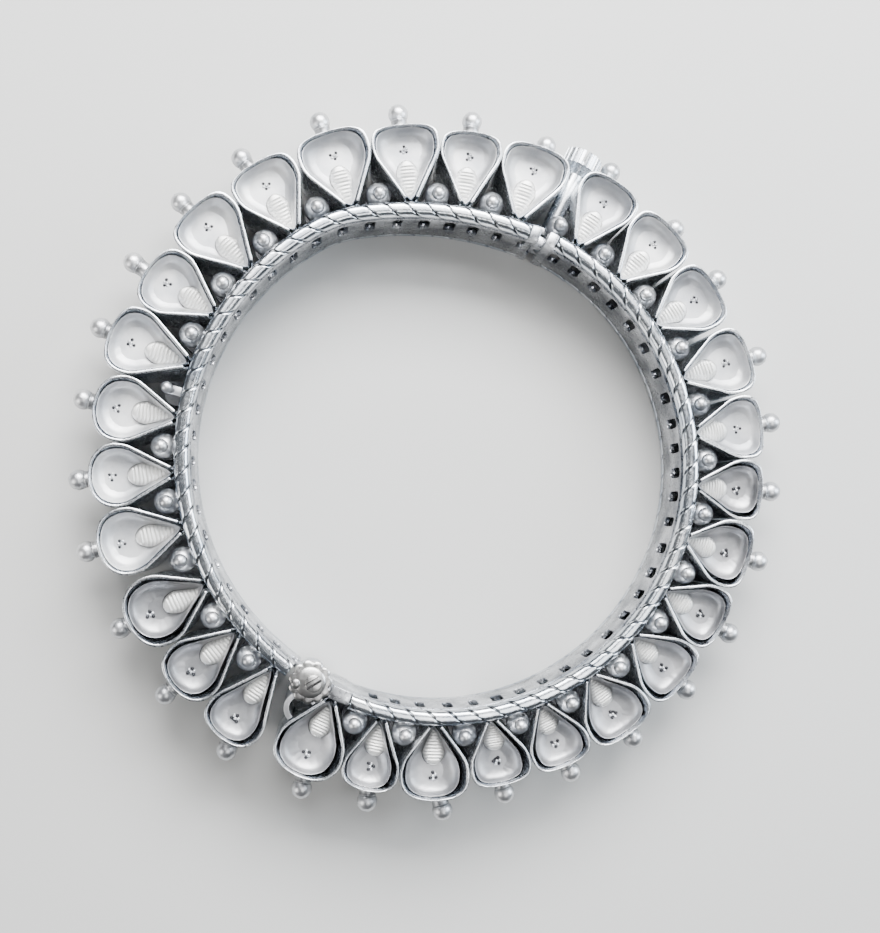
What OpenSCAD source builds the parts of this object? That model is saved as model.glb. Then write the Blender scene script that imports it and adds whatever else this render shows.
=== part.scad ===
// Hinged bangle: two pierced silver bands with twisted wire rims, twenty-nine
// deep drop-shaped cups round the outside, a pin hinge and a radial screw clasp.
// Millimetres. The ring's centre is the origin, the far rims rest on z = 0.

/* [Ring] */
// Width of the bangle along its axis
ring_w = 12; // [9:0.5:16]
// Thickness of the pierced band
band_t = 0.6; // [0.4:0.1:1]
// Height of the pierced band between the wires
band_h = 8; // [6:0.5:12]
// Radius of the long half's curve
long_r = 31.56; // [29:0.01:34]
// Radius of the short half's wide curve
wide_r = 32.81; // [30:0.01:36]
// Radius of the short half's tight bend
bend_r = 15.85; // [10:0.05:30]
// Radius of the short half's flat end
flat_r = 42.94; // [32:0.01:60]

/* [Twisted rim wire] */
// Radius over the two strands
wire_r = 0.95; // [0.6:0.05:1.3]
// Length along the wire of half a turn
half_turn = 2.6; // [2:0.1:5]
// Clearance between a wire and the part beside it
wire_gap = 0.1; // [0.05:0.05:0.3]

/* [Cups] */
// Thickness of a cup's strip wall
wall_t = 0.55; // [0.4:0.05:0.9]
// Height of a cup's wall
wall_h = 11; // [9:0.5:14]
// Depth from the wall's edge to the plate
plate_drop = 2.4; // [1.5:0.1:3.5]
// Depth of the plate's dish
dish_drop = 0.9; // [0.4:0.1:1.5]
// Gap between two cups
cup_gap = 0.2; // [0.1:0.05:0.4]
// Radius of the bead at a cup's tip
bead_r = 1.3; // [0.9:0.05:1.6]
// Radius of the bead's neck
neck_r = 1.08; // [0.7:0.02:1.3]
// Radius from the centre to the ring of beads
bead_ring = 44.9; // [42:0.1:48]

/* [Domes] */
// Largest radius of a dome in the gaps
dome_r = 1.6; // [1:0.05:1.7]
// Clearance between a dome and the cups beside it
dome_gap = 0.12; // [0.05:0.01:0.3]
// Radius of the bead on a dome
dome_bead_r = 0.95; // [0.5:0.05:1.1]
// Distance of a dome out from the wire's centre line
dome_out = 2.4; // [2:0.1:3.5]

/* [Piercing] */
// Half width of a slot
slot_r = 0.8; // [0.5:0.05:1]
// Straight length of a slot
slot_l = 2.7; // [1:0.1:4]
// Height of a slot's middle
slot_z = 7.55; // [5:0.05:8]

/* [Hinge] */
// Angle of the hinge pin round the ring
hinge_a = 239.6; // [230:0.1:250]
// Distance of the hinge pin from the centre
hinge_r = 31.6; // [30:0.1:34]
// Radius of the knuckles
knuckle_r = 1.9; // [1.5:0.1:2.5]
// Radius of the pin
pin_r = 0.75; // [0.5:0.05:1]
// Radius of the scalloped cap
cap_r = 2.35; // [2:0.05:2.6]

/* [Clasp screw] */
// Angle of the screw round the ring
clasp_a = 64.1; // [60:0.1:68]
// Radius of the knob
knob_r = 2.5; // [2:0.05:2.6]
// Thickness of the knob
knob_h = 1.9; // [1:0.1:3]
// Radius of the shank
shank_r = 1.1; // [0.8:0.05:1.2]
// Radius of the screw's tip
tip_r = 0.7; // [0.5:0.05:0.8]

/* [Hidden] */
$fn = 64;
mid = ring_w / 2;
wire_z = wire_r;
band_z = mid - band_h / 2;
cup_z = mid - wall_h / 2;

// Centres of the short half's three curves, each meeting the next at a tangent
wide_c = [1.02, 0.72];
bend_at = 120.2;
flat_at = 99.7;
bend_c = wide_c + (wide_r - bend_r) * [cos(bend_at), sin(bend_at)];
flat_c = bend_c - (flat_r - bend_r) * [cos(flat_at), sin(flat_at)];

// Columns: centre x, centre y, radius
arcs = [
  [0.59, -0.33, long_r],
  [flat_c[0], flat_c[1], flat_r],
  [bend_c[0], bend_c[1], bend_r],
  [wide_c[0], wide_c[1], wide_r]
];
join_1 = atan2(bend_c[1] + bend_r * sin(flat_at), bend_c[0] + bend_r * cos(flat_at));
join_2 = atan2(bend_c[1] + bend_r * sin(bend_at), bend_c[0] + bend_r * cos(bend_at));

// Columns: middle angle, width in degrees, rim radius, bead angle, bead in or out,
// how far the flattened outer end stands out, as a share of the cup's radius
cups = [
  [96.25, 12.5, 42.6, 96.3, 0.7, 0.55],
  [84.25, 11.5, 41.9, 84.0, 0, 0.6],
  [72, 13, 42.1, 70.8, -0.7, 0.6],
  [57.4, 11.8, 42.4, 59.0, 0, 0.6],
  [45.2, 12.5, 42.4, 44.4, -0.45, 0.6],
  [32.3, 12.9, 42.1, 33.2, -0.15, 0.6],
  [19, 12.5, 42.3, 18.5, 0.25, 0.6],
  [6.5, 12, 41.8, 7.0, 0, 0.55],
  [354.8, 11.5, 41.6, 355.3, -0.3, 0.6],
  [342.5, 13, 41.6, 343.2, -0.35, 0.6],
  [330, 12, 41.7, 330, -0.3, 0.6],
  [317.8, 12.5, 41.7, 318, -0.7, 0.55],
  [305, 13, 41.7, 305.7, -0.95, 0.6],
  [292.8, 11.5, 41.2, 293.6, -1.4, 0.6],
  [281.3, 11.5, 41.0, 281.7, -1.6, 0.6],
  [269, 13, 42.0, 271, -0.5, 0.7],
  [257.3, 10.5, 41.6, 258.4, -0.95, 0.7],
  [245.6, 13, 42.5, 247.5, -0.25, 0.8],
  [231.5, 11, 43.2, 233.9, 0, 0.75],
  [220.3, 11.5, 42.8, 220.6, 0, 0.8],
  [208, 13, 43.0, 207.8, 0, 0.85],
  [194.6, 12.2, 43.1, 194.5, 0.45, 0.85],
  [182.8, 11.5, 43.0, 183, 0.15, 0.85],
  [171, 12, 43.0, 170.1, 0.3, 0.85],
  [159, 12, 43.5, 158.4, 0.85, 0.7],
  [147, 12, 43.1, 146.8, 1.15, 0.7],
  [134.8, 12.5, 43.8, 134.7, 1.6, 0.6],
  [122.2, 12.5, 43.6, 122.8, 1.45, 0.6],
  [109.1, 13.2, 43.6, 109, 1.6, 0.6]
];
short_cups = [for (k = [19:29]) k, 1, 2, 3];

// Angles of the domes on each half
long_domes = [63.1, 51.5, 38.85, 25.5, 12.65, 0.6, 349.05, 335.95, 324, 311.6,
  298.6, 287.05, 275.45, 262.65, 252.05];
short_domes = [226, 214.5, 201.1, 188.5, 177, 153, 140.75, 128.5, 115.85,
  102.85, 90.3, 78.4];
post_a = 165.2;

function arc_of(a) = a < 65 || a > 239.6 ? 0 : a < join_1 ? 1 : a < join_2 ? 2 : 3;
function arc_c(i) = [arcs[i][0], arcs[i][1]];
function radius_on(a, i) =
  let (c = arcs[i], u = c[0] * cos(a) + c[1] * sin(a), v = c[0] * sin(a) - c[1] * cos(a))
  u + sqrt(c[2] * c[2] - v * v);
function ring_r(a) = radius_on(a, arc_of(a));
function turn_on(a, i) =
  let (r = radius_on(a, i)) atan2(r * sin(a) - arcs[i][1], r * cos(a) - arcs[i][0]);
function up(x) = x < 0 ? x + 360 : x;
function whole(a) = a > 360 ? a - 360 : a;

module at(a) rotate([0, 0, a]) children();

module both_faces() {
  children();
  translate([0, 0, ring_w]) mirror([0, 0, 1]) children();
}

// A bent strip on one curve, between two angles and two distances from the line
module strip(i, a0, a1, d0, d1, z0, z1)
  translate([arcs[i][0], arcs[i][1], z0])
    rotate([0, 0, turn_on(a0, i)])
      rotate_extrude(angle = up(turn_on(a1, i) - turn_on(a0, i)))
        translate([arcs[i][2] + d0, 0]) square([d1 - d0, z1 - z0]);

module slot(a)
  at(a) translate([ring_r(a) - 1.4, 0, slot_z]) {
    translate([0, 0, slot_l / 2]) rotate([0, 90, 0]) cylinder(r = slot_r, h = 1.4);
    translate([0, 0, -slot_l / 2]) rotate([0, 90, 0]) cylinder(r = slot_r, h = 1.4);
    translate([0, -slot_r, -slot_l / 2]) cube([1.4, 2 * slot_r, slot_l]);
  }

module slots(list)
  for (k = list) {
    slot(cups[k - 1][0] - cups[k - 1][1] / 4);
    slot(cups[k - 1][0] + cups[k - 1][1] / 4);
  }

// How far a point at angle a, rho from the centre, lies from the side of cup k
function room(a, rho, k) =
  let (c = cups[k - 1], r = cup_r(k), m = cup_mid(k), p = cup_point(k), s = asin(r / (m - p)),
    x = rho * cos(a - c[0]), y = abs(rho * sin(a - c[0])))
  (x - p) * cos(s) + y * sin(s) < (m - p) * cos(s)
    ? y * cos(s) - (x - p) * sin(s) : norm([x - m, y]) - r;

// A dome with a bead on top, on a tab out from the band
module dome(a, most = dome_r) {
  r = ring_r(a);
  size = min(most, min([for (k = [1:29]) room(a, r + dome_out, k)]) - dome_gap);
  at(a) {
    translate([r - 0.7, -0.65, 8.4]) cube([dome_out + 0.7, 1.3, 0.8]);
    translate([r + dome_out, 0, 8.3]) cylinder(r = size - 0.1, h = 1);
    translate([r + dome_out, 0, 9.2]) sphere(r = size);
    translate([r + dome_out, 0, ring_w - 0.1 - dome_bead_r]) sphere(r = dome_bead_r);
  }
}

// The slim post that stands in for one dome on the near face
module lean_post(a) {
  r = ring_r(a);
  at(a) {
    translate([r - 0.7, -0.55, 8.4]) cube([dome_out + 0.9, 1.1, 0.8]);
    translate([r + dome_out, 0, 8.4]) rotate([0, 8, 0]) cylinder(r = 0.5, h = 2.9);
    translate([r + dome_out + 0.4, 0, 11.2]) sphere(r = 0.7);
  }
}

module at_hinge() at(hinge_a) translate([hinge_r, 0, 0]) children();

// Two bent lobes twisted together along the rim, from angle a0 up to angle a1
// Columns: angle round the section, distance from its middle
lobes = [[0, 0.95], [60, 0.93], [90, 0.62], [120, 0.93], [180, 0.95], [240, 0.93], [270, 0.62], [300, 0.93]];
module wire(a0, a1, z) {
  n = round((a1 - a0) * PI / 180 * 31.7 / (half_turn / 4));
  points = [for (k = [0:n])
    let (a = whole(a0 + (a1 - a0) * k / n), i = arc_of(a), r = radius_on(a, i), t = turn_on(a, i))
    for (j = [0:7])
      let (f = lobes[j][0] - 45 * k, q = lobes[j][1] * wire_r / 0.95)
      [r * cos(a) + q * cos(f) * cos(t), r * sin(a) + q * cos(f) * sin(t), z + q * sin(f)]];
  sides = [for (k = [0:n - 1]) for (j = [0:7]) for (h = [0:1])
    let (m = (j + 1) % 8)
    h == 0 ? [8 * k + j, 8 * k + m, 8 * k + 8 + j] : [8 * k + m, 8 * k + 8 + m, 8 * k + 8 + j]];
  first = [for (j = [3:8]) [2, (j + 1) % 8, j % 8]];
  last = [for (j = [3:8]) [8 * n + 2, 8 * n + j % 8, 8 * n + (j + 1) % 8]];
  polyhedron(points = points, faces = concat(sides, first, last));
}

module rim_wire_top_long() color("silver") wire(249.5, 421.5, ring_w - wire_z);
module rim_wire_bottom_long() color("silver") wire(249.5, 421.5, wire_z);
module rim_wire_top_short() color("silver") wire(68.6, 234.2, ring_w - wire_z);
module rim_wire_bottom_short() color("silver") wire(68.6, 234.2, wire_z);

// Radius of the flatter arc that ends a cup, for a circle r and its share f
function end_r(r, f) =
  let (w = 111 - 60 * f, h = f - cos(w)) r * (h * h + sin(w) * sin(w)) / (2 * h);

// Outline of one cup: a circle with two straight flanks that meet at a point,
// its outer end flattened where f is below one
module drop(point, middle, r, f = 1) {
  s = asin(r / (middle - point));
  q = r - 0.02;
  polygon([[point, 0], [middle - q * sin(s), -q * cos(s)], [middle, 0], [middle - q * sin(s), q * cos(s)]]);
  if (f > 0.95) translate([middle, 0]) circle(r = r);
  else intersection() {
    translate([middle, 0]) circle(r = r);
    translate([middle + f * r - end_r(r, f), 0]) circle(r = end_r(r, f));
  }
}

function cup_f(k) = cups[k - 1][5];
function cup_r(k) =
  let (c = cups[k - 1], s = sin(c[1] / 2)) (c[2] * s - cup_gap / 2) / (1 + c[5] * s);
function cup_mid(k) = cups[k - 1][2] - cup_f(k) * cup_r(k);
function cup_point(k) = ring_r(cups[k - 1][0]) - 0.15;

module cup(k) {
  c = cups[k - 1];
  r = cup_r(k);
  m = cup_mid(k);
  p = cup_point(k);
  i = arc_of(c[0]);
  slope = asin(r / (m - p));
  inner = p + wall_t / sin(slope);
  f = cup_f(k);
  end = f * r;
  dish_r = 2.5 - wall_t;
  ball = (dish_r * dish_r + dish_drop * dish_drop) / (2 * dish_drop);
  top = ring_w - cup_z - plate_drop;
  color("silver") difference() {
    union() {
      at(c[0]) difference() {
        translate([0, 0, cup_z]) linear_extrude(wall_h) drop(p, m, r, f);
        both_faces() {
          translate([0, 0, top]) linear_extrude(plate_drop + 1)
            drop(inner, m, r - wall_t, (end - wall_t) / (r - wall_t));
          translate([m + end - 2.65, 0, 0]) intersection() {
            translate([0, 0, top - dish_drop + ball]) sphere(r = ball);
            translate([0, 0, top - 2]) cylinder(r = dish_r + 0.2, h = 2.05);
          }
        }
      }
      at(c[0]) both_faces() {
        translate([m + end - 2.5, 0, top - dish_drop + 0.4]) sphere(r = 0.5);
        tongue(inner, m + end - 4.75, top);
      }
      neck(k);
    }
    translate([arcs[i][0], arcs[i][1], -1]) cylinder(r = arcs[i][2] + wire_r + 0.15, h = 3.05);
    translate([arcs[i][0], arcs[i][1], ring_w - 2.05]) cylinder(r = arcs[i][2] + wire_r + 0.15, h = 3.05);
    if (k == 18) translate([arcs[0][0], arcs[0][1], -1]) cylinder(r = long_r + 0.75, h = ring_w + 2);
    if (k == 3 || k == 4)
      at(clasp_a) translate([30, 0, mid]) rotate([0, 90, 0]) cylinder(r = shank_r + 0.25, h = 14);
  }
}

// The raised drop on the plate, with ribs across it
module tongue(from, reach, top) {
  difference() {
    translate([0, 0, top - 1]) linear_extrude(1.15) drop(from + 0.5, reach - 1.25, 1.25);
    for (x = [reach - 0.55:-0.45:from + 1.7])
      translate([x, -2, top - 0.02]) cube([0.14, 4, 0.3]);
  }
}

// The bead on its short neck, out from the middle of the cup's tip
module neck(k) {
  c = cups[k - 1];
  m = cup_mid(k);
  start = m * [cos(c[0]), sin(c[0])];
  end = (bead_ring + c[4]) * [cos(c[3]), sin(c[3])];
  way = atan2(end[1] - start[1], end[0] - start[0]);
  out = norm(end - start);
  translate([start[0], start[1], mid]) rotate([0, 0, way]) {
    translate([cup_f(k) * cup_r(k) - 0.4, 0, 0]) rotate([0, 90, 0])
      cylinder(r = neck_r, h = out - cup_f(k) * cup_r(k) + 0.4);
    translate([out, 0, 0]) sphere(r = bead_r);
  }
}

module band_long() color("silver") difference() {
  union() {
    difference() {
      strip(0, 241.5, 63, -1, -1 + band_t, band_z, band_z + band_h);
      slots([for (k = [4:17]) k]);
    }
    for (a = long_domes) both_faces() dome(a, abs(a - clasp_a) < 2 ? 1.4 : dome_r);
    // leaf of the hinge and its plate under the rims
    strip(0, 240.6, 244.7, -1.04, 0.5, 1.1, 10.9);
    strip(0, 244.6, 249.3, -1.08, 0.6, 0.3, ring_w - 0.3);
    at_hinge() translate([0, 0, 1.1]) cylinder(r = knuckle_r, h = 9.8);
    difference() {
      at(240.6) translate([34.9, 0, 1.5]) cylinder(r = 2.1, h = 9.4);
      at(240.6) translate([35, 0, 1]) cylinder(r = 1.45, h = 11);
      at(cups[17][0]) linear_extrude(ring_w) drop(cup_point(18) - 0.3, cup_mid(18), cup_r(18) + 0.16);
    }
    // end post and the tongue with the tapped bore
    at(63) translate([30.52, -0.65, 0.3]) cube([1.8, 1.3, ring_w - 0.6]);
    at(clasp_a) translate([30.75, -1.2, 3.9]) cube([1.45, 2.45, 4.2]);
  }
  at_hinge() cylinder(r = pin_r + 0.05, h = ring_w);
  at_hinge() translate([0, 0, 3.75]) cylinder(r = knuckle_r + 0.2, h = 4.5);
  at(clasp_a) translate([30, 0, mid]) rotate([0, 90, 0]) cylinder(r = tip_r + 0.05, h = 4);
}

module band_short() color("silver") difference() {
  union() {
    difference() {
      union() {
        strip(1, 67, join_1, -1, -1 + band_t, band_z, band_z + band_h);
        strip(2, join_1 - 0.5, join_2 + 0.5, -1.03, -0.97 + band_t, band_z - 0.04, band_z + band_h + 0.04);
        strip(3, join_2, 235.6, -1, -1 + band_t, band_z, band_z + band_h);
      }
      slots(short_cups);
      at_hinge() translate([0, 0, -1]) cylinder(r = knuckle_r + 0.2, h = ring_w + 2);
    }
    for (a = short_domes) both_faces() dome(a);
    lean_post(post_a);
    translate([0, 0, ring_w]) mirror([0, 0, 1]) dome(post_a);
    // leaf and knuckle of the hinge
    at_hinge() translate([-0.85, -2.8, 3.95]) cube([0.4, 2.8, 4.1]);
    at_hinge() translate([0, 0, 3.95]) cylinder(r = knuckle_r, h = 4.1);
    // end post, with the fork plate that the screw's tip passes through
    difference() {
      at(67.2) translate([30.36, -0.65, 0.3]) cube([1.8, 1.3, ring_w - 0.6]);
      at(66.2) translate([30, -0.5, 3.6]) cube([2.35, 0.85, 4.8]);
    }
    at(67.2) translate([31, -0.3, 4.35]) cube([2.4, 0.95, 3.3]);
    difference() {
      at(clasp_a) translate([32.6, -1.2, 4.4]) cube([0.9, 3.1, 3.2]);
      at(clasp_a) translate([32, -1.5, 5]) cube([2, 2.5, 2]);
    }
  }
  at_hinge() cylinder(r = pin_r + 0.05, h = ring_w);
}

module hinge_pin() color("silver") at_hinge() {
  translate([0, 0, 0.35]) cylinder(r = pin_r, h = 11);
  translate([0, 0, 0.35]) cylinder(r = 1.2, h = 0.65);
  difference() {
    union() {
      translate([0, 0, 11.05]) cylinder(r = cap_r, h = 0.6);
      for (s = [0:10]) rotate([0, 0, s * 360 / 11]) translate([cap_r - 0.1, 0, 11.05]) cylinder(r = 0.4, h = 0.6);
      rotate([0, 0, -hinge_a]) translate([0.4, -0.1, 11.2]) cylinder(r = 1.05, h = 0.8);
      rotate([0, 0, -hinge_a]) translate([-1.75, -0.1, 11.3]) cylinder(r = 0.65, h = 0.5);
    }
    rotate([0, 0, -hinge_a]) translate([0.4, -0.1, 11.72]) rotate([0, 0, 30])
      translate([-0.85, -0.14, 0]) cube([1.7, 0.28, 1]);
  }
}

module clasp_screw() color("silver") at(clasp_a) translate([0, 0, mid]) rotate([0, 90, 0]) difference() {
  union() {
    translate([0, 0, 31]) cylinder(r = tip_r, h = 4);
    translate([0, 0, 33.7]) cylinder(r = shank_r, h = 10);
    translate([0, 0, 42]) cylinder(r1 = shank_r - 0.05, r2 = knob_r - 0.3, h = 1.15);
    translate([0, 0, 43.1]) cylinder(r = knob_r, h = knob_h);
  }
  // the slot in its head
  translate([-3, -0.15, 43.5]) cube([6, 0.3, 3]);
  for (s = [0:19]) rotate([0, 0, s * 18]) translate([knob_r + 0.08, 0, 43]) cylinder(r = 0.22, h = knob_h + 1);
}

band_long();
band_short();
rim_wire_top_long();
rim_wire_top_short();
rim_wire_bottom_long();
rim_wire_bottom_short();
cup(1);  // petal_01
cup(2);  // petal_02
cup(3);  // petal_03
cup(4);  // petal_04
cup(5);  // petal_05
cup(6);  // petal_06
cup(7);  // petal_07
cup(8);  // petal_08
cup(9);  // petal_09
cup(10);  // petal_10
cup(11);  // petal_11
cup(12);  // petal_12
cup(13);  // petal_13
cup(14);  // petal_14
cup(15);  // petal_15
cup(16);  // petal_16
cup(17);  // petal_17
cup(18);  // petal_18
cup(19);  // petal_19
cup(20);  // petal_20
cup(21);  // petal_21
cup(22);  // petal_22
cup(23);  // petal_23
cup(24);  // petal_24
cup(25);  // petal_25
cup(26);  // petal_26
cup(27);  // petal_27
cup(28);  // petal_28
cup(29);  // petal_29
hinge_pin();
clasp_screw();
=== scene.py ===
import math
import random
import bmesh
import bpy
from mathutils import Matrix, Vector


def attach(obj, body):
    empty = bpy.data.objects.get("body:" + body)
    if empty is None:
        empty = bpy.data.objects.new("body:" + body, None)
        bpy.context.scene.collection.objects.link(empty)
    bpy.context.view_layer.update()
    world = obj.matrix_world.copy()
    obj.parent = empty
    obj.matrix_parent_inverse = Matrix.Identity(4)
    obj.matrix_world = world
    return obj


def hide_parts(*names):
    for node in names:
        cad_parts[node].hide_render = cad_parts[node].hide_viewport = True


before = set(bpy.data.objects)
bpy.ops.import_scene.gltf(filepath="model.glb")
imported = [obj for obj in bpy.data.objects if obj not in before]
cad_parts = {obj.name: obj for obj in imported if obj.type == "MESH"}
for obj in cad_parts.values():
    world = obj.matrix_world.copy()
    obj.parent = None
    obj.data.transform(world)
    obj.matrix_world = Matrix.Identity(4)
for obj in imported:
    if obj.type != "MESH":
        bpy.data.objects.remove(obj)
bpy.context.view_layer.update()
random.seed(29)
bpy.ops.object.select_all(action="DESELECT")

# Everything is drawn in millimetres, and brought to metres when a piece is finished.

# Camera and light

CAMERA_PLACE = (-0.0144, -0.00677, 0.15979)     # metres
LEAN_X, LEAN_Y = 2.321, -5.529                  # degrees away from straight down

lens = bpy.data.cameras.new("camera")
lens.lens = 46.2
lens.sensor_width = 36
camera = bpy.data.objects.new("camera", lens)
camera.matrix_world = (Matrix.Translation(CAMERA_PLACE) @ Matrix.Rotation(math.radians(LEAN_Y), 4, "Y")
                       @ Matrix.Rotation(math.radians(LEAN_X), 4, "X"))
bpy.context.scene.collection.objects.link(camera)
bpy.context.scene.camera = camera


def softbox(name, place, aim, width, height, watts, colour=(1, 1, 1)):
    """A rectangular soft light at a place, facing another place, in metres."""
    light = bpy.data.lights.new(name, "AREA")
    light.shape = "RECTANGLE"
    light.size, light.size_y = width, height
    light.energy, light.color = watts, colour
    lamp = bpy.data.objects.new(name, light)
    lamp.location = place
    lamp.rotation_euler = (Vector(aim) - Vector(place)).to_track_quat("-Z", "Y").to_euler()
    bpy.context.scene.collection.objects.link(lamp)


softbox("key_softbox", (0.03, 0.23, 0.23), (0, 0, 0.006), 0.30, 0.16, 3.9)
softbox("overhead_softbox", (0.02, 0.20, 0.40), (0, 0, 0), 0.34, 0.22, 1.1)
softbox("low_softbox", (0.09, -0.10, 0.40), (0, 0, 0), 0.16, 0.13, 0.4)
softbox("fill_softbox", (-0.34, -0.12, 0.20), (0, 0, 0), 0.16, 0.22, 0.6, (1, 0.985, 0.96))
softbox("cool_softbox", (0.36, 0.06, 0.20), (0, 0, 0), 0.16, 0.26, 1.8, (0.84, 0.92, 1))


# Materials

# The dark colour mixed in where points are marked: tarnish, painted shade and painted dark reflections
TARNISH_AND_SHADE_COLOUR = "#2B2B2E"


def from_hex(text):
    """An sRGB hex colour as linear red, green, blue and alpha."""
    parts = [int(text[k:k + 2], 16) / 255 for k in (1, 3, 5)]
    return [c / 12.92 if c <= 0.04045 else ((c + 0.055) / 1.055) ** 2.4 for c in parts] + [1]


def add(tree, kind, inputs=None, **settings):
    """Adds a node, sets it, and links or fills its inputs."""
    node = tree.nodes.new(kind)
    for name, value in settings.items():
        setattr(node, name, value)
    for socket, value in (inputs or {}).items():
        if isinstance(value, bpy.types.NodeSocket):
            tree.links.new(value, node.inputs[socket])
        else:
            node.inputs[socket].default_value = value
    return node


def silver(name, light, dark, rough, grain_mm, grain_depth, tarnish_and_shade, spread=0.08, scratch_mm=0,
           dark_reflection_patches_mm=0):
    """Sterling silver: a light and a dark tone in soft clouds, a grain, fine scratches, and a dark colour
    where the points are marked: tarnish and painted shade in the recesses, all along them, or painted dark
    reflections in patches."""
    material = bpy.data.materials.new(name)
    material.use_nodes = True
    tree = material.node_tree
    shader = tree.nodes["Principled BSDF"]
    place = add(tree, "ShaderNodeTexCoord").outputs["Object"]
    clouds = add(tree, "ShaderNodeTexNoise", {"Vector": place, "Scale": 1 / 0.004, "Detail": 4.0})
    tone = add(tree, "ShaderNodeMapRange", {"Value": clouds.outputs["Fac"], "From Min": 0.35,
                                            "From Max": 0.68})
    colour = add(tree, "ShaderNodeMix", {"Factor": tone.outputs[0], 6: from_hex(dark), 7: from_hex(light)},
                 data_type="RGBA")
    shade = add(tree, "ShaderNodeAttribute", attribute_name="tarnish_and_painted_shade")
    depth = add(tree, "ShaderNodeMath", {0: shade.outputs["Fac"], 1: tarnish_and_shade}, operation="MULTIPLY")
    # Painted dark reflections, only in patches
    if dark_reflection_patches_mm:
        spots = add(tree, "ShaderNodeTexNoise", {"Vector": place, "Scale": 1000 / dark_reflection_patches_mm,
                                                 "Detail": 3.0})
        where = add(tree, "ShaderNodeMapRange", {"Value": spots.outputs["Fac"], "From Min": 0.50,
                                                 "From Max": 0.56})
        depth = add(tree, "ShaderNodeMath", {0: depth.outputs[0], 1: where.outputs[0]},
                    operation="MULTIPLY")
    black = add(tree, "ShaderNodeMix", {"Factor": depth.outputs[0], 6: colour.outputs[2],
                                        7: from_hex(TARNISH_AND_SHADE_COLOUR)}, data_type="RGBA")
    tree.links.new(black.outputs[2], shader.inputs["Base Color"])
    grain = add(tree, "ShaderNodeTexNoise", {"Vector": place, "Scale": 1000 / grain_mm, "Detail": 3.0})
    dull = add(tree, "ShaderNodeMapRange", {"Value": grain.outputs["Fac"], "From Min": 0.3, "From Max": 0.7,
                                            "To Min": rough - spread, "To Max": rough + spread})
    tree.links.new(dull.outputs[0], shader.inputs["Roughness"])
    bump = add(tree, "ShaderNodeBump", {"Height": grain.outputs["Fac"], "Strength": 0.25,
                                        "Distance": grain_depth / 1000})
    if scratch_mm:
        fine = add(tree, "ShaderNodeMapping", {"Vector": place, "Rotation": (0.3, 0.5, 0.9),
                                               "Scale": (1, 9, 4)})
        scratches = add(tree, "ShaderNodeTexNoise", {"Vector": fine.outputs[0], "Scale": 1000 / scratch_mm,
                                                     "Detail": 5.0, "Roughness": 0.7})
        bump = add(tree, "ShaderNodeBump", {"Height": scratches.outputs["Fac"], "Strength": 0.2,
                                            "Distance": grain_depth / 1000, "Normal": bump.outputs[0]})
    tree.links.new(bump.outputs[0], shader.inputs["Normal"])
    shader.inputs["Metallic"].default_value = 1
    return material


# Sterling silver, blanched in acid: a dead white skin that scatters the light
frosted = silver("sterling_silver_acid_blanched", "#ECECEC", "#BFC1C5", 0.56, 0.12, 0.02, tarnish_and_shade=0.75)
# The same, darker and greyer as painted shade, for the cups on the lower side
frosted_in_painted_shade = silver("sterling_silver_blanched_painted_shade", "#CBCBCD", "#9C9DA0", 0.47, 0.12, 0.02, tarnish_and_shade=0.75)
# The same on the small ribbed leaf, whiter still because it was never rubbed
leaf_white = silver("sterling_silver_matt_leaf", "#F4F3F0", "#E0E0DE", 0.55, 0.10, 0.02, tarnish_and_shade=0.75)
# Sterling silver strip, filed and rubbed on its edge: bright edges with fine file marks
rubbed = silver("sterling_silver_rubbed_strip", "#EEF0F2", "#BFC5CC", 0.28, 0.30, 0.01, tarnish_and_shade=0.6,
                spread=0.05)
# The flared lining under the strip's edge: smoother than the plate, its bluish tone and its dark patches
# painted in as reflections
lining = silver("sterling_silver_lining_painted_reflections", "#E6EBF2", "#AEB7C3", 0.26, 0.30, 0.01, tarnish_and_shade=0.97,
                dark_reflection_patches_mm=2.6)
# Drawn wire, twisted and rolled flat: the brightest parts, cool and glassy
wire_silver = silver("sterling_silver_twisted_wire", "#F3F6F9", "#BCC4CE", 0.22, 0.5, 0.006, tarnish_and_shade=0.7,
                     spread=0.05)
# Rolled sheet of the pierced band, grey in clouds from handling, with painted shade towards one side of the
# ring
sheet = silver("sterling_silver_handled_sheet", "#E4E6EA", "#7C8087", 0.30, 0.45, 0.02, tarnish_and_shade=0.8,
               scratch_mm=1.8)
# Cast cap of the hinge pin: dull, with a soft sandy skin
cast = silver("cast_silver_dull", "#CFCECC", "#9A9998", 0.34, 0.35, 0.03, tarnish_and_shade=0.85)
# Melted beads: smooth, with a satin skin
satin = silver("sterling_silver_satin_bead", "#EBEBEC", "#C6C8CC", 0.40, 0.20, 0.01, tarnish_and_shade=0.8)


def floor_paint():
    """Matt painted board, pale, with a very faint unevenness."""
    material = bpy.data.materials.new("matt_painted_board")
    material.use_nodes = True
    tree = material.node_tree
    shader = tree.nodes["Principled BSDF"]
    place = add(tree, "ShaderNodeTexCoord").outputs["Object"]
    clouds = add(tree, "ShaderNodeTexNoise", {"Vector": place, "Scale": 6.0, "Detail": 2.0})
    colour = add(tree, "ShaderNodeMix", {"Factor": clouds.outputs["Fac"], 6: from_hex("#C3C3C2"),
                                         7: from_hex("#CACAC8")}, data_type="RGBA")
    tree.links.new(colour.outputs[2], shader.inputs["Base Color"])
    shader.inputs["Roughness"].default_value = 0.9
    return material


bpy.ops.mesh.primitive_plane_add(size=3)
floor = bpy.context.object
floor.name = "floor"
floor.data.materials.append(floor_paint())

world = bpy.data.worlds.new("studio")
world.use_nodes = True
world.node_tree.nodes["Background"].inputs["Color"].default_value = from_hex("#B9BCC0")
world.node_tree.nodes["Background"].inputs["Strength"].default_value = 0.22
bpy.context.scene.world = world


# Sizes of the bangle, in millimetres and degrees, the same as in the part's source

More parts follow.
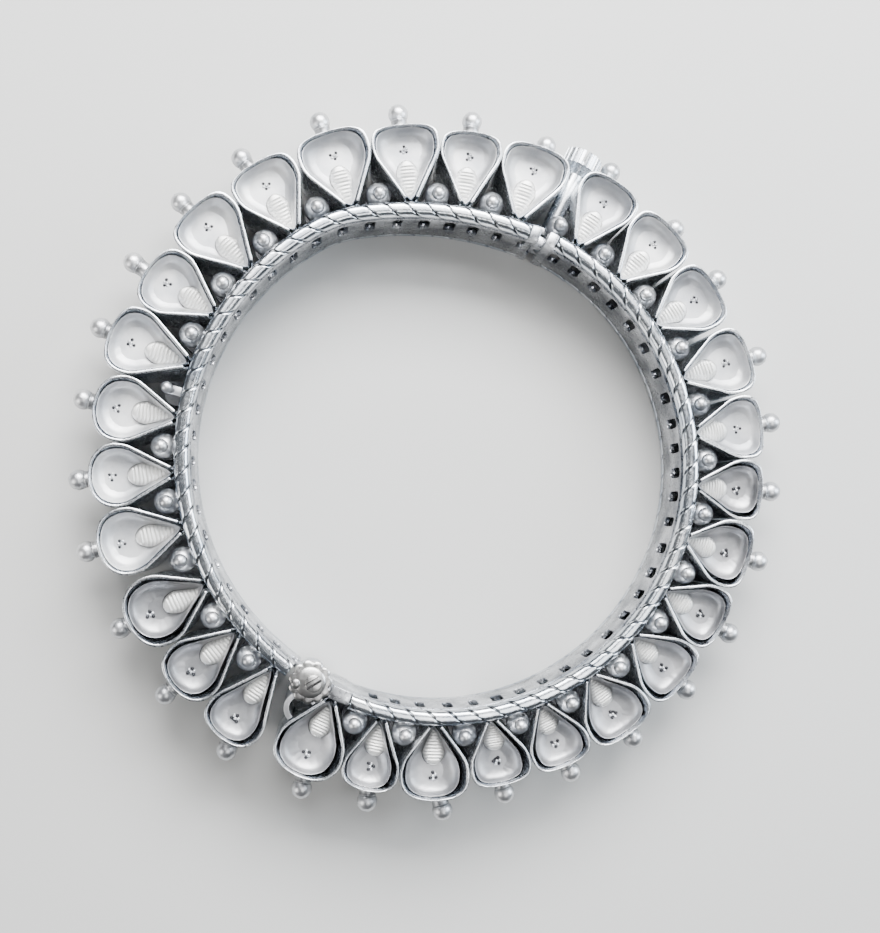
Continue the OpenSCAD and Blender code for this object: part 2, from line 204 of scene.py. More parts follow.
LONG_R, FLAT_R, BEND_R, WIDE_R = 31.56, 42.94, 15.85, 32.81     # the band's four curves
RING_W = 12.0                   # the height of the bangle as it lies
PLATE_TOP = 9.1                 # the height that the dished plates hang from


def along(angle, far=1.0):
    """A place at an angle and a distance from the bangle's middle."""
    return Vector((math.cos(math.radians(angle)) * far, math.sin(math.radians(angle)) * far))


# The long half is one curve; the short half goes from the flat curve to the bend and the wide curve
SPLIT_AT_CLASP, SPLIT_AT_HINGE = 65, 239.6
FLAT_TO_BEND, BEND_TO_WIDE = 99.7, 120.2        # the directions in which they pass into each other
WIDE_C = Vector((1.02, 0.72))
BEND_C = WIDE_C + along(BEND_TO_WIDE, WIDE_R - BEND_R)
FLAT_C = BEND_C - along(FLAT_TO_BEND, FLAT_R - BEND_R)
ARCS = [(Vector((0.59, -0.33)), LONG_R), (FLAT_C, FLAT_R), (BEND_C, BEND_R), (WIDE_C, WIDE_R)]


def angle_of(point):
    """The angle of a place round the bangle's middle, from 0 to 360 degrees."""
    return math.degrees(math.atan2(point.y, point.x)) % 360


JOIN_1 = angle_of(BEND_C + along(FLAT_TO_BEND, BEND_R))
JOIN_2 = angle_of(BEND_C + along(BEND_TO_WIDE, BEND_R))


def arc_at(angle):
    """The curve that the band follows at an angle round the bangle."""
    a = angle % 360
    if a < SPLIT_AT_CLASP or a > SPLIT_AT_HINGE:
        return ARCS[0]
    return ARCS[1 if a < JOIN_1 else 2 if a < JOIN_2 else 3]


def ring_at(angle):
    """The band's distance from the middle at an angle."""
    (centre, radius), way = arc_at(angle), along(angle)
    near = centre.dot(way)
    return near + math.sqrt(radius ** 2 - (centre.x * way.y - centre.y * way.x) ** 2)


# Cups, clockwise from the top: middle angle, width in degrees, rim distance, bead angle, bead in or out,
# and how far the flattened outer end stands out as a share of the cup's radius
CUPS = [
    (96.25, 12.5, 42.6, 96.3, 0.7, 0.55), (84.25, 11.5, 41.9, 84.0, 0, 0.6),
    (72, 13, 42.1, 70.8, -0.7, 0.6), (57.4, 11.8, 42.4, 59.0, 0, 0.6),
    (45.2, 12.5, 42.4, 44.4, -0.45, 0.6), (32.3, 12.9, 42.1, 33.2, -0.15, 0.6),
    (19, 12.5, 42.3, 18.5, 0.25, 0.6), (6.5, 12, 41.8, 7.0, 0, 0.55),
    (354.8, 11.5, 41.6, 355.3, -0.3, 0.6), (342.5, 13, 41.6, 343.2, -0.35, 0.6),
    (330, 12, 41.7, 330, -0.3, 0.6), (317.8, 12.5, 41.7, 318, -0.7, 0.55),
    (305, 13, 41.7, 305.7, -0.95, 0.6), (292.8, 11.5, 41.2, 293.6, -1.4, 0.6),
    (281.3, 11.5, 41.0, 281.7, -1.6, 0.6), (269, 13, 42.0, 271, -0.5, 0.7),
    (257.3, 10.5, 41.6, 258.4, -0.95, 0.7), (245.6, 13, 42.5, 247.5, -0.25, 0.8),
    (231.5, 11, 43.2, 233.9, 0, 0.75), (220.3, 11.5, 42.8, 220.6, 0, 0.8),
    (208, 13, 43.0, 207.8, 0, 0.85), (194.6, 12.2, 43.1, 194.5, 0.45, 0.85),
    (182.8, 11.5, 43.0, 183, 0.15, 0.85), (171, 12, 43.0, 170.1, 0.3, 0.85),
    (159, 12, 43.5, 158.4, 0.85, 0.7), (147, 12, 43.1, 146.8, 1.15, 0.7),
    (134.8, 12.5, 43.8, 134.7, 1.6, 0.6), (122.2, 12.5, 43.6, 122.8, 1.45, 0.6),
    (109.1, 13.2, 43.6, 109, 1.6, 0.6)]
NUMBERS = range(1, len(CUPS) + 1)
ON_LONG = range(4, 19)          # the cups that sit on the long half
CUPS_IN_PAINTED_SHADE = range(9, 22)        # the cups painted darker: greyer plates as painted shade, and painted dark reflections in patches on their linings
IN_BAND = 0.15                  # how far the cups' points reach into the band's line


def cup_circle(number, spare):
    """The radius of a cup's round end, with something to spare between cups, and its middle's distance."""
    _, width, rim, _, _, flat = CUPS[number - 1]
    s = math.sin(math.radians(width / 2))
    radius = (rim * s - spare) / (1 + flat * s)
    return radius, rim - flat * radius


# Ways of working

def begin(primitive, **size):
    """Adds a primitive by itself and opens it for editing."""
    bpy.ops.object.select_all(action="DESELECT")
    primitive(**size)
    bpy.ops.object.mode_set(mode="EDIT")
    return bpy.context.object


def pick(kind, test):
    """Selects the points, edges or faces of the open piece whose middle passes a test."""
    bpy.ops.mesh.select_mode(type=kind)
    bpy.ops.mesh.select_all(action="DESELECT")
    shape = bmesh.from_edit_mesh(bpy.context.object.data)
    for part in {"VERT": shape.verts, "EDGE": shape.edges, "FACE": shape.faces}[kind]:
        points = [part.co] if kind == "VERT" else [v.co for v in part.verts]
        if test(sum(points, Vector()) / len(points)):
            part.select_set(True)
    shape.select_flush_mode()
    bmesh.update_edit_mesh(bpy.context.object.data)


def extrude(x=0.0, y=0.0, z=0.0):
    bpy.ops.mesh.extrude_region_move(TRANSFORM_OT_translate={"value": (x, y, z)})


def move(x=0.0, y=0.0, z=0.0):
    bpy.ops.transform.translate(value=(x, y, z))


def resize(x, y, z, about=(0, 0, 0)):
    bpy.ops.transform.resize(value=(x, y, z), center_override=about)


def rotate(degrees, axis):
    bpy.ops.transform.rotate(value=math.radians(degrees), orient_axis=axis, center_override=(0, 0, 0))


def pick_all():
    bpy.ops.mesh.select_all(action="SELECT")


def face_outward():
    """Turns all faces of the open piece outward."""
    pick_all()
    bpy.ops.mesh.normals_make_consistent(inside=False)


def cut(place, normal, **which):
    """Cuts the whole open piece along a plane."""
    pick_all()
    bpy.ops.mesh.bisect(plane_co=place, plane_no=normal, threshold=0.0001, **which)


def close_up(piece, name, material):
    """Ends editing and gives the piece its name and metal."""
    bpy.ops.object.mode_set(mode="OBJECT")
    piece.name = piece.data.name = name
    piece.data.materials.append(material)
    return piece


def modify(piece, kind, **settings):
    """Adds a modifier and applies it."""
    modifier = piece.modifiers.new(kind, kind)
    for name, value in settings.items():
        setattr(modifier, name, value)
    bpy.context.view_layer.objects.active = piece
    bpy.ops.object.modifier_apply(modifier=modifier.name)


def ease(piece, width):
    """Rounds the edges that are sharper than 50 degrees."""
    modify(piece, "BEVEL", width=width, segments=2, limit_method="ANGLE", angle_limit=math.radians(50))


def take_away(piece, tool):
    """Cuts a tool's shape out of a piece."""
    modify(piece, "BOOLEAN", operation="DIFFERENCE", solver="EXACT", object=tool)
    bpy.data.objects.remove(tool)
    return piece


def only(*pieces):
    """Selects these pieces and no others."""
    bpy.ops.object.select_all(action="DESELECT")
    for piece in pieces:
        piece.select_set(True)
    bpy.context.view_layer.objects.active = pieces[0]


def open_up(piece):
    """Opens a finished piece for editing once more."""
    only(piece)
    bpy.ops.object.mode_set(mode="EDIT")


def settle(piece):
    """Puts a piece's place, turn and size into its mesh."""
    only(piece)
    bpy.ops.object.transform_apply(location=True, rotation=True, scale=True)


def smooth(piece, degrees=35):
    only(piece)
    bpy.ops.object.shade_smooth_by_angle(angle=math.radians(degrees))


def copy(piece):
    """A copy with a mesh of its own."""
    twin = piece.copy()
    twin.data = piece.data.copy()
    bpy.context.scene.collection.objects.link(twin)
    return twin


def join(name, *pieces):
    only(*pieces)
    bpy.ops.object.join()
    pieces[0].name = pieces[0].data.name = name
    return pieces[0]


def finish(piece, body, slot, *nodes):
    """Brings a piece to metres, and gives it its body and the nodes that it stands for; its slot is not used.
    """
    piece.scale = (0.001, 0.001, 0.001)
    settle(piece)
    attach(piece, body)
    if nodes:
        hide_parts(*nodes)


def mark_tarnish_and_shade(piece, test):
    """Marks each point from 0 to 1 for the dark colour: tarnish in the hollows, painted shade in corners and
    under things, and painted dark reflections.
    """
    marks = piece.data.attributes.new("tarnish_and_painted_shade", "FLOAT", "POINT")
    marks.data.foreach_set("value", [test(v.co) for v in piece.data.vertices])


# The master cup, round its circle's middle, with its point towards -X

CUP_R, CUP_D, WALL = 4.0, 7.35, 0.36      # radius, middle to point, and the strip's thickness
SLOPE = math.asin(CUP_R / CUP_D)
LINING_TOP = 11.38
BEAD_AT = CUP_R + 2.35


def drop_outline(radius, far, segments=72, cuts=7):
    """A circle whose one side is drawn out along its tangents to a point."""
    piece = begin(bpy.ops.mesh.primitive_circle_add, vertices=segments, radius=radius)
    side = -radius * math.sin(SLOPE)
    cut((side, 0, 0), (1, 0, 0), clear_inner=True)
    pick("VERT", lambda p: p.x < side + 0.001)
    extrude(-far - side)
    resize(1, 0, 1)
    pick_all()
    bpy.ops.mesh.remove_doubles(threshold=0.0005)
    pick("EDGE", lambda p: p.x < side - 0.3)
    bpy.ops.mesh.subdivide(number_cuts=cuts)
    return piece


def make_wall():
    """The strip, bent to a drop and stood on edge, with room for the twisted wires over its point."""
    piece = drop_outline(CUP_R, CUP_D)
    for x in (-CUP_D + 1.25, -CUP_D + 0.9):
        cut((x, 0, 0), (1, 0, 0))
    pick_all()
    move(z=0.5)
    for height in (1.55, 7.9, 1.55):
        extrude(z=height)
    face_outward()
    pick("FACE", lambda p: p.x < -CUP_D + 1.2 and abs(p.z - 6) > 4)
    bpy.ops.mesh.delete(type="FACE")
    close_up(piece, "cup_wall", rubbed)
    modify(piece, "SOLIDIFY", thickness=WALL, offset=-1, use_even_offset=True)
    ease(piece, 0.1)
    mark_tarnish_and_shade(piece, lambda p: 0.0)
    return piece


def make_funnel():
    """The flared lining between the rim and the plate: steep at the outer end, sloping on the flanks."""
    edge = CUP_R - WALL + 0.02
    piece = drop_outline(edge, edge / math.sin(SLOPE), cuts=5)
    pick_all()
    move(z=LINING_TOP)
    height, part_x, part_y = LINING_TOP, 1.0, 1.0
    for down, x, y in ((0.35, 0.998, 0.992), (0.9, 0.992, 0.97), (1.5, 0.985, 0.94), (2.0, 0.975, 0.91),
                       (2.35, 0.965, 0.895)):
        extrude(z=LINING_TOP - down - height)
        resize(x / part_x, y / part_y, 1, (edge, 0, 0))
        height, part_x, part_y = LINING_TOP - down, x, y
    face_outward()
    bpy.ops.mesh.flip_normals()
    close_up(piece, "cup_funnel", lining)
    # Painted dark reflections: marked fully on the flanks and half elsewhere, shown only in the lining's
    # patches
    mark_tarnish_and_shade(piece, lambda p: 1.0 if p.x < 2.4 and abs(p.y) > 0.8 and p.z < 11.2 else 0.5)
    return piece


EDGE_UP = 1.3
# The plate's section: share of its outline, and depth below PLATE_TOP (negative for the turned-up edge)
PLATE_SECTION = (
    (0.99, -EDGE_UP), (0.97, -1.05), (0.945, -0.76), (0.915, -0.48), (0.88, -0.24), (0.84, -0.04),
    (0.79, 0.1), (0.73, 0.22), (0.65, 0.34), (0.56, 0.44), (0.46, 0.52), (0.35, 0.59), (0.22, 0.64),
    (0.08, 0.655))


def make_plate(long, width, rise, aside, metal):
    """The pressed plate: a shallow dish whose edge turns up to the lining."""
    inner = CUP_R - WALL - 0.03
    piece = drop_outline(inner, inner / math.sin(SLOPE), cuts=5)
    pick_all()
    resize(long, width, 1, (inner, 0, 0))
    move(y=aside)
    move(z=PLATE_TOP - EDGE_UP)
    bpy.ops.mesh.edge_face_add()
    share, height = 1.0, PLATE_TOP - EDGE_UP
    for part, drop in PLATE_SECTION:
        drop *= rise / EDGE_UP if drop < 0 else 1
        extrude(z=PLATE_TOP - drop - height)
        resize(part / share, part / share, 1, (-0.3, 0, 0))
        share, height = part, PLATE_TOP - drop
    close_up(piece, "cup_plate", metal)
    mark_tarnish_and_shade(piece, lambda p: 0.0)
    return piece


LEAF_LONG, LEAF_R = 4.3, 1.5    # the leaf lies along X, with its round end at 0


def make_leaf():
    """The small ribbed leaf on the plate: thin at the point, round at its end, crowned, with ribs across."""
    rows = 36
    piece = begin(bpy.ops.mesh.primitive_grid_add, x_subdivisions=rows, y_subdivisions=8, size=2)
    resize(LEAF_LONG / 2, 1, 1)
    move(-LEAF_LONG / 2)
    step = LEAF_LONG / rows
    for k in range(rows + 1):
        x = k * step - LEAF_LONG
        if x > -LEAF_R:
            half = math.sqrt(max(0.0, LEAF_R ** 2 - (x + LEAF_R) ** 2)) + 0.02
        else:
            half = 0.06 + (LEAF_R - 0.04) * ((x + LEAF_LONG) / (LEAF_LONG - LEAF_R)) ** 0.88
        pick("VERT", lambda p: abs(p.x - x) < step / 3)
        resize(1, half, 1)
        crest = 0.40 * math.sqrt(half / LEAF_R)
        for part in (0.0, 0.26, 0.51, 0.76):
            pick("VERT", lambda p: abs(p.x - x) < step / 3 and abs(abs(p.y) - half * part) < half * 0.13)
            move(z=crest * math.sqrt(1 - part ** 2) * (1.0 if x < -0.1 else 0.6))
        if k % 3 == 0 and 5 < k < rows - 5:
            pick("VERT", lambda p: abs(p.x - x) < step / 3 and abs(p.y) < half * 0.85)
            move(z=-0.13)
    pick_all()
    bpy.ops.mesh.region_to_loop()
    for down, along_x, along_y in ((0.2, 1.01, 1.03), (1.1, 1.08, 1.25)):
        extrude(z=-down)
        resize(along_x, along_y, 1, (-LEAF_LONG / 2, 0, 0))
    pick_all()
    move(z=PLATE_TOP + 0.05)
    close_up(piece, "ribbed_leaf", leaf_white)
    # Painted shadow: the leaf's sides are dark below the plate's level and a little darkened just above it
    mark_tarnish_and_shade(piece, lambda p: 1.2 if p.z < PLATE_TOP - 0.1 else 0.35 if p.z < PLATE_TOP + 0.2 else 0.0)
    return piece


def make_granules():
    """A pinch of melted grains in the dish's middle, every other one black, over a dark spot of solder."""
    grains = []
    for k in range(6):
        piece = begin(bpy.ops.mesh.primitive_uv_sphere_add, segments=10, ring_count=8, radius=0.22)
        resize(1, 1, 0.8)
        turn = math.radians(60 * k + 13)
        far = 0 if k == 0 else 0.38 + 0.06 * (k % 2)
        move(far * math.cos(turn), far * math.sin(turn), PLATE_TOP - 0.48 + (0.05 if k == 0 else 0))
        grains.append(close_up(piece, "grain", satin))
        mark_tarnish_and_shade(grains[-1], lambda p: 1.2 if k % 2 else 0.0)
    pool = begin(bpy.ops.mesh.primitive_circle_add, vertices=14, radius=0.62, fill_type="NGON")
    move(z=PLATE_TOP - 0.72)
    extrude(z=0.14)
    resize(0.86, 0.86, 1)
    extrude(z=0.02)
    resize(0.6, 0.6, 1)
    grains.append(close_up(pool, "solder_pool", satin))
    mark_tarnish_and_shade(pool, lambda p: 1.2 if math.hypot(p.x, p.y) < 0.58 else 0.0)
    return join("granules", *grains)


def make_bead():
    """The bead on its neck, towards +X: the neck flares onto the strip and has a fine collar."""
    piece = begin(bpy.ops.mesh.primitive_circle_add, vertices=28, radius=1.18)
    rotate(90, "Y")
    move(x=CUP_R - 0.9)
    size = 1.18
    for step, radius in ((0.8, 1.16), (0.2, 1.06), (0.5, 1.02), (0.75, 1.02), (0.12, 1.08), (0.12, 1.02)):
        extrude(x=step)
        resize(1, radius / size, radius / size)
        size = radius
    close_up(piece, "neck", satin)
    ball = begin(bpy.ops.mesh.primitive_uv_sphere_add, segments=28, ring_count=18, radius=1.3)
    rotate(90, "Y")
    move(x=BEAD_AT)
    close_up(ball, "ball", satin)
    piece = join("bead_on_neck", piece, ball)
    # Painted shade: dark at the collar, and on the ball's sides towards its outline
    mark_tarnish_and_shade(piece, lambda p: 0.7 if abs(p.x - CUP_R - 1.4) < 0.2 and math.hypot(p.y, p.z) < 1.06
                 else 0.4 * max(0.0, 1 - abs(p.z) / 1.0))
    return piece


def both_faces(piece):
    """A second one for the other face, mirrored."""
    twin = copy(piece)
    twin.scale.z = -1
    twin.location.z = RING_W
    settle(twin)
    open_up(twin)
    face_outward()
    bpy.ops.object.mode_set(mode="OBJECT")
    return twin


leaf, grains, bead = make_leaf(), make_granules(), make_bead()
for part in (leaf, grains, bead):
    smooth(part, 50)
wall = make_wall()
smooth(wall)


def make_shell(long, width, rise, aside, metal):
    """The wall with its lining and its plate on both faces; a narrow plate leaves a dark trench beside it."""
    inside = join("cup_inside", make_funnel(), make_plate(long, width, rise, aside, metal))
    smooth(inside, 50)
    return join("cup_shell", copy(wall), inside, both_faces(inside))


shell = make_shell(0.99, 0.972, 1.85, 0, frosted)
# For the cups in painted shade: a narrower plate with a lower edge, set a little to one side, in the greyer
# painted-shade metal
shell_right = make_shell(0.98, 0.88, 1.3, -0.14, frosted_in_painted_shade)
shell_left = make_shell(0.98, 0.88, 1.3, 0.14, frosted_in_painted_shade)

BEADS_FAR = 44.9                # the beads' usual distance from the bangle's middle
GRAINS_IN = 2.5                 # from the cup's outer end to its grains
POINT_FREE = 1.4                # between the cup's point and the leaf's


def leaf_in(number):
    """From the cup's outer end to its leaf: furthest beside the hinge, less far on the left side and least
    elsewhere."""
    return 4.95 if number in (18, 19) else 4.35 if 19 < number < 28 else 3.95


def draw_out(radius, reach):
    """Brings the open master drop to a cup's radius, and its point to a distance from the round's middle."""
    size, side = radius / CUP_R, -radius * math.sin(SLOPE)
    pick_all()
    resize(size, size, 1)
    pick("VERT", lambda p: p.x < side)
    resize((reach + side) / (CUP_D * size + side), 1, 1, (side, 0, 0))


def bend_shell(number, radius, reach):
    """A copy of the shell, drawn to a cup's own size, its end flattened, and all of it a little uneven."""
    piece = copy(shell if number not in CUPS_IN_PAINTED_SHADE else shell_right if number > 14 else shell_left)
    if number not in CUPS_IN_PAINTED_SHADE:     # on these the linings' painted shade and painted dark reflections are kept faint
        for mark in piece.data.attributes["tarnish_and_painted_shade"].data:
            mark.value *= 0.2
    open_up(piece)
    draw_out(radius, reach)
    share = 1.0                 # what each quarter of the end keeps, so that the whole end comes out as flat
    while 0.25 * (1 + share + share ** 2 + share ** 3) > CUPS[number - 1][5]:
        share -= 0.005
    for level in (0.75, 0.5, 0.25):
        pick("VERT", lambda p: p.x > level * radius)
        resize(share, 1, 1, (level * radius, 0, 0))
    pick_all()
    bpy.ops.transform.vertex_random(offset=0.07, seed=number)
    bpy.ops.mesh.vertices_smooth(factor=0.5, repeat=2)
    bpy.ops.object.mode_set(mode="OBJECT")
    return piece


def fill_cup(number, reach, end):
    """A cup's leaf and grains on both faces, each laid a little off its place."""
    leaf_end = end - leaf_in(number)
    leaf_long = (reach + leaf_end - POINT_FREE) / LEAF_LONG
    parts = []
    for part, x, long, wide in ((leaf, leaf_end, leaf_long, 0.9), (grains, end - GRAINS_IN, 1, 1)):
        near = copy(part)
        near.scale = (long, wide, 1)
        near.rotation_euler.z = math.radians(random.uniform(-4, 4) if part is leaf else 37 * number)
        near.location = (x, random.uniform(-0.12, 0.12), 0)
        settle(near)
        parts += [near, both_faces(near)]
    return parts


def place_cup(number):
    """One cup with its leaves, its grains and its bead, its point reaching its own place on the band."""
    angle, _, _, bead_angle, bead_out, flat = CUPS[number - 1]
    radius, middle = cup_circle(number, 0.05)
    reach = middle - (ring_at(angle) - IN_BAND)
    name = f"cup_{number:02d}"
    piece = join(name, bend_shell(number, radius, reach), *fill_cup(number, reach, flat * radius))
    if number == 18:            # its point is cut away for the hinge
        open_up(piece)
        cut((32.5 - middle, 0, 0), (1, 0, 0), clear_inner=True)
        bpy.ops.object.mode_set(mode="OBJECT")
    piece.rotation_euler.z = math.radians(angle)
    piece.location = (*along(angle, middle), 0)
    settle(piece)
    tip = copy(bead)
    start, end = along(angle, middle), along(bead_angle, BEADS_FAR + bead_out)
    way = end - start
    tip.rotation_euler.z = math.atan2(way.y, way.x)
    tip.location = (*(end - way.normalized() * BEAD_AT), RING_W / 2)
    settle(tip)
    finish(join(name, piece, tip), "half_long" if number in ON_LONG else "half_short", "cup",
           f"petal_{number:02d}")


for number in NUMBERS:
    place_cup(number)
for part in (wall, shell, shell_right, shell_left, leaf, grains, bead):
    bpy.data.objects.remove(part)


# The twisted wires

WIRE_R, TURN_MM = 0.95, 5.2     # half the rim's width, and the length of a full turn
CLEFTS = ((0, 0.76), (0.191, 0.94))     # across the twist: a place, and what the cleft leaves of the height
ROLLED = 0.87                   # half the twist's height where it is rolled flat


def make_twist():
    """One full turn of the two strands pressed together, along X: a round with two narrow clefts,
    turned as it is drawn along and then rolled flat above and below."""
    piece = begin(bpy.ops.mesh.primitive_circle_add, vertices=32, radius=0.98)
    rotate(90, "Y")
    for y, depth in CLEFTS:
        pick("VERT", lambda p: abs(abs(p.y) - y) < 0.05)
        resize(1, 1, depth)
    pick_all()
    steps = 24
    for _ in range(steps):
        extrude(x=TURN_MM / steps)
        rotate(-360 / steps, "X")
    for side in (-1, 1):
        pick("VERT", lambda p: p.z * side > ROLLED)
        resize(1, 1, 0, (0, 0, ROLLED * side))
    close_up(piece, "twist", wire_silver)
    # Painted shade: dark in the clefts, and half as dark beside them
    mark_tarnish_and_shade(piece, lambda p: 1.0 if math.hypot(p.y, p.z) < 0.78 else
                 0.5 if math.hypot(p.y, p.z) < 0.935 and abs(p.z) < 0.86 else 0.0)
    return piece


twist = make_twist()


def ring_path(first, last, height):
    """A curve that follows the ring from one angle to another, and its length."""
    curve = bpy.data.curves.new("ring_path", "CURVE")
    curve.dimensions = "3D"
    curve.twist_mode = "Z_UP"
    curve.use_stretch = True
    curve.use_deform_bounds = True
    count = 400
    line = curve.splines.new("POLY")
    line.points.add(count)
    for k in range(count + 1):
        a = first + (last - first) * k / count
        line.points[k].co = (*along(a, ring_at(a)), height, 1)
    path = bpy.data.objects.new("ring_path", curve)
    bpy.context.scene.collection.objects.link(path)
    return path, sum((line.points[k + 1].co - line.points[k].co).length for k in range(count))


def rim_wire(name, first, last, height, body):
    """The twist repeated along one edge of one half, bent to the ring, with both ends closed."""
    path, length = ring_path(first, last, height)
    piece = copy(twist)
    modify(piece, "ARRAY", count=round(length / TURN_MM), use_relative_offset=False,
           use_constant_offset=True, constant_offset_displace=(TURN_MM, 0, 0),
           use_merge_vertices=True, merge_threshold=0.001)
    modify(piece, "CURVE", object=path, deform_axis="POS_X")
    bpy.data.objects.remove(path)
    open_up(piece)
    bpy.ops.mesh.select_mode(type="EDGE")
    bpy.ops.mesh.select_all(action="DESELECT")
    bpy.ops.mesh.select_non_manifold()
    bpy.ops.mesh.edge_face_add()
    face_outward()
    bpy.ops.object.mode_set(mode="OBJECT")
    smooth(piece, 40)
    piece.name = piece.data.name = name
    finish(piece, body, "rim_wire", name.replace("twisted", "rim"))


for half, first, last in (("long", 249.5, 421.5), ("short", 68.6, 234.2)):
    for side, height in (("top", RING_W - WIRE_R), ("bottom", WIRE_R)):
        rim_wire(f"twisted_wire_{side}_{half}", first, last, height, f"half_{half}")
bpy.data.objects.remove(twist)


# The pierced bands, drawn flat along X as the strip is before it is bent

# The gaps that hold a dome, by their angles
LONG_DOMES = (63.1, 51.5, 38.85, 25.5, 12.65, 0.6, 349.05, 335.95, 324, 311.6, 298.6, 287.05,
              275.45, 262.65, 252.05)
SHORT_DOMES = (226, 214.5, 201.1, 188.5, 177, 165.2, 153, 140.75, 128.5, 115.85, 102.85, 90.3, 78.4)
POST_AT, HINGE_AT, CLASP_AT = 165.2, SPLIT_AT_HINGE, 64.1
HINGE_R = 31.6                  # the hinge pin's distance from the bangle's middle
KNUCKLE_R = 1.9
PAINTED_SHADE_SIDE = 80                  # the side of the bands that gets the most painted shade
SLOT_R, SLOT_LONG, SLOT_UP = 0.76, 1.3, 7.5     # the oval holes: round ends, half the straight, and height


def band_strip(first, last, cups, name):
    """One pierced strip: cut from sheet, its oval holes punched and filed a little unevenly, then bent."""
    path, length = ring_path(first, last, 0)
    steps = 800
    spots = [first + (last - first) * k / steps for k in range(steps + 1)]
    points = [along(a, ring_at(a)) for a in spots]
    runs = [0.0]
    for k in range(steps):
        runs.append(runs[-1] + (points[k + 1] - points[k]).length)
    piece = begin(bpy.ops.mesh.primitive_grid_add, x_subdivisions=round(length), y_subdivisions=4, size=2)
    rotate(90, "X")
    resize(length / 2, 1, 4)
    move(length / 2, 0.4, 6)
    pick_all()
    extrude(y=0.6)
    face_outward()
    close_up(piece, name, sheet)
    punches = []
    for number in cups:
        middle, width = CUPS[number - 1][:2]
        for side in (-1, 1):
            angle = middle + side * width / 4
            angle += 360 if angle < first else 0
            x = runs[round((angle - first) / (last - first) * steps)]
            punch = begin(bpy.ops.mesh.primitive_cylinder_add, vertices=14, radius=SLOT_R, depth=3)
            rotate(90, "X")
            pick("VERT", lambda p: p.z > 0.1)
            move(z=SLOT_LONG + random.uniform(-0.15, 0.15))
            pick("VERT", lambda p: p.z < -0.1)
            move(z=-SLOT_LONG)
            pick_all()
            resize(random.uniform(0.82, 1.05), 1, 1)
            move(x, 0.7, SLOT_UP)
            punches.append(close_up(punch, "punch", sheet))
    take_away(piece, join("punches", *punches))
    ease(piece, 0.09)
    modify(piece, "CURVE", object=path, deform_axis="POS_X")
    bpy.data.objects.remove(path)
    # Painted shade: the band darkens towards one side of the ring
    mark_tarnish_and_shade(piece, lambda p: 0.25 * (1 + math.cos(math.atan2(p.y, p.x) - math.radians(PAINTED_SHADE_SIDE))))
    smooth(piece)
    return piece


def make_dome():
    """A hollow dome on a small flange."""
    dome = begin(bpy.ops.mesh.primitive_uv_sphere_add, segments=32, ring_count=20, radius=1)
    cut((0, 0, -0.25), (0, 0, 1), clear_inner=True)
    close_up(dome, "dome", satin)
    skirt = begin(bpy.ops.mesh.primitive_cylinder_add, vertices=32, radius=0.97, depth=0.7)
    move(z=-0.35)
    close_up(skirt, "skirt", satin)
    piece = join("dome", dome, skirt)
    # Painted shade: darker towards the dome's foot and on its skirt
    mark_tarnish_and_shade(piece, lambda p: max(0.0, min(1.0, 0.55 - p.z)))
    return piece


def make_top_bead():
    """The bead that sits on a dome, with solder round its foot."""
    ball = begin(bpy.ops.mesh.primitive_uv_sphere_add, segments=24, ring_count=16, radius=0.86)
    close_up(ball, "top_bead", satin)
    foot = begin(bpy.ops.mesh.primitive_torus_add, major_segments=24, minor_segments=8, major_radius=0.66,
                 minor_radius=0.13)
    move(z=-0.6)
    close_up(foot, "bead_foot", satin)
    piece = join("top_bead", ball, foot)
    # Painted shade: dark at the foot, and darker down the lower half of the ball
    mark_tarnish_and_shade(piece, lambda p: 1.0 if p.z < -0.35 else max(0.0, 0.5 - p.z))
    return piece


def block(name, metal, angle, low, high, round_mm=0.1):
    """A filed block between two corners, in the directions out, round and up at an angle of the ring."""
    piece = begin(bpy.ops.mesh.primitive_cube_add, size=1)
    resize(*(high[k] - low[k] for k in range(3)))
    move(*((high[k] + low[k]) / 2 for k in range(3)))
    close_up(piece, name, metal)
    modify(piece, "BEVEL", width=round_mm, segments=2)
    piece.rotation_euler.z = math.radians(angle)
    settle(piece)
    return piece


def drum(name, metal, place, radius, low, high, round_mm=0.12, sides=40):
    """A turned drum standing at a place."""
    piece = begin(bpy.ops.mesh.primitive_cylinder_add, vertices=sides, radius=radius, depth=high - low)
    move(place[0], place[1], (high + low) / 2)
    close_up(piece, name, metal)
    ease(piece, round_mm)
    return piece


def bent_plate(name, metal, first, last, near, far, low, high):
    """A piece of plate bent with the ring, between two angles and two distances from the ring's line."""
    path, length = ring_path(first, last, 0)
    piece = begin(bpy.ops.mesh.primitive_grid_add, x_subdivisions=max(2, round(length)), y_subdivisions=1,
                  size=1)
    resize(length, far - near, 1)
    move(length / 2, -(near + far) / 2, low)
    pick_all()
    extrude(z=high - low)
    face_outward()
    close_up(piece, name, metal)
    ease(piece, 0.1)
    modify(piece, "CURVE", object=path, deform_axis="POS_X")
    bpy.data.objects.remove(path)
    return piece


dome, top_bead = make_dome(), make_top_bead()
for part in (dome, top_bead):
    smooth(part, 50)


def room(angle, far, number):
    """The distance from a place in a gap to the side of a cup."""
    middle_angle = CUPS[number - 1][0]
    radius, middle = cup_circle(number, 0.1)
    point = ring_at(middle_angle) - IN_BAND
    lean = math.asin(radius / (middle - point))
    turn = math.radians(angle - middle_angle)
    x, y = far * math.cos(turn), abs(far * math.sin(turn))
    if (x - point) * math.cos(lean) + y * math.sin(lean) < (middle - point) * math.cos(lean):
        return y * math.cos(lean) - (x - point) * math.sin(lean)
    return math.hypot(x - middle, y) - radius


DOMES_OUT = 2.4                 # the domes' distance from the band's line
DOME_UP, TOP_BEAD_UP = 9.2, 10.98       # the heights of a dome's middle and of its bead's


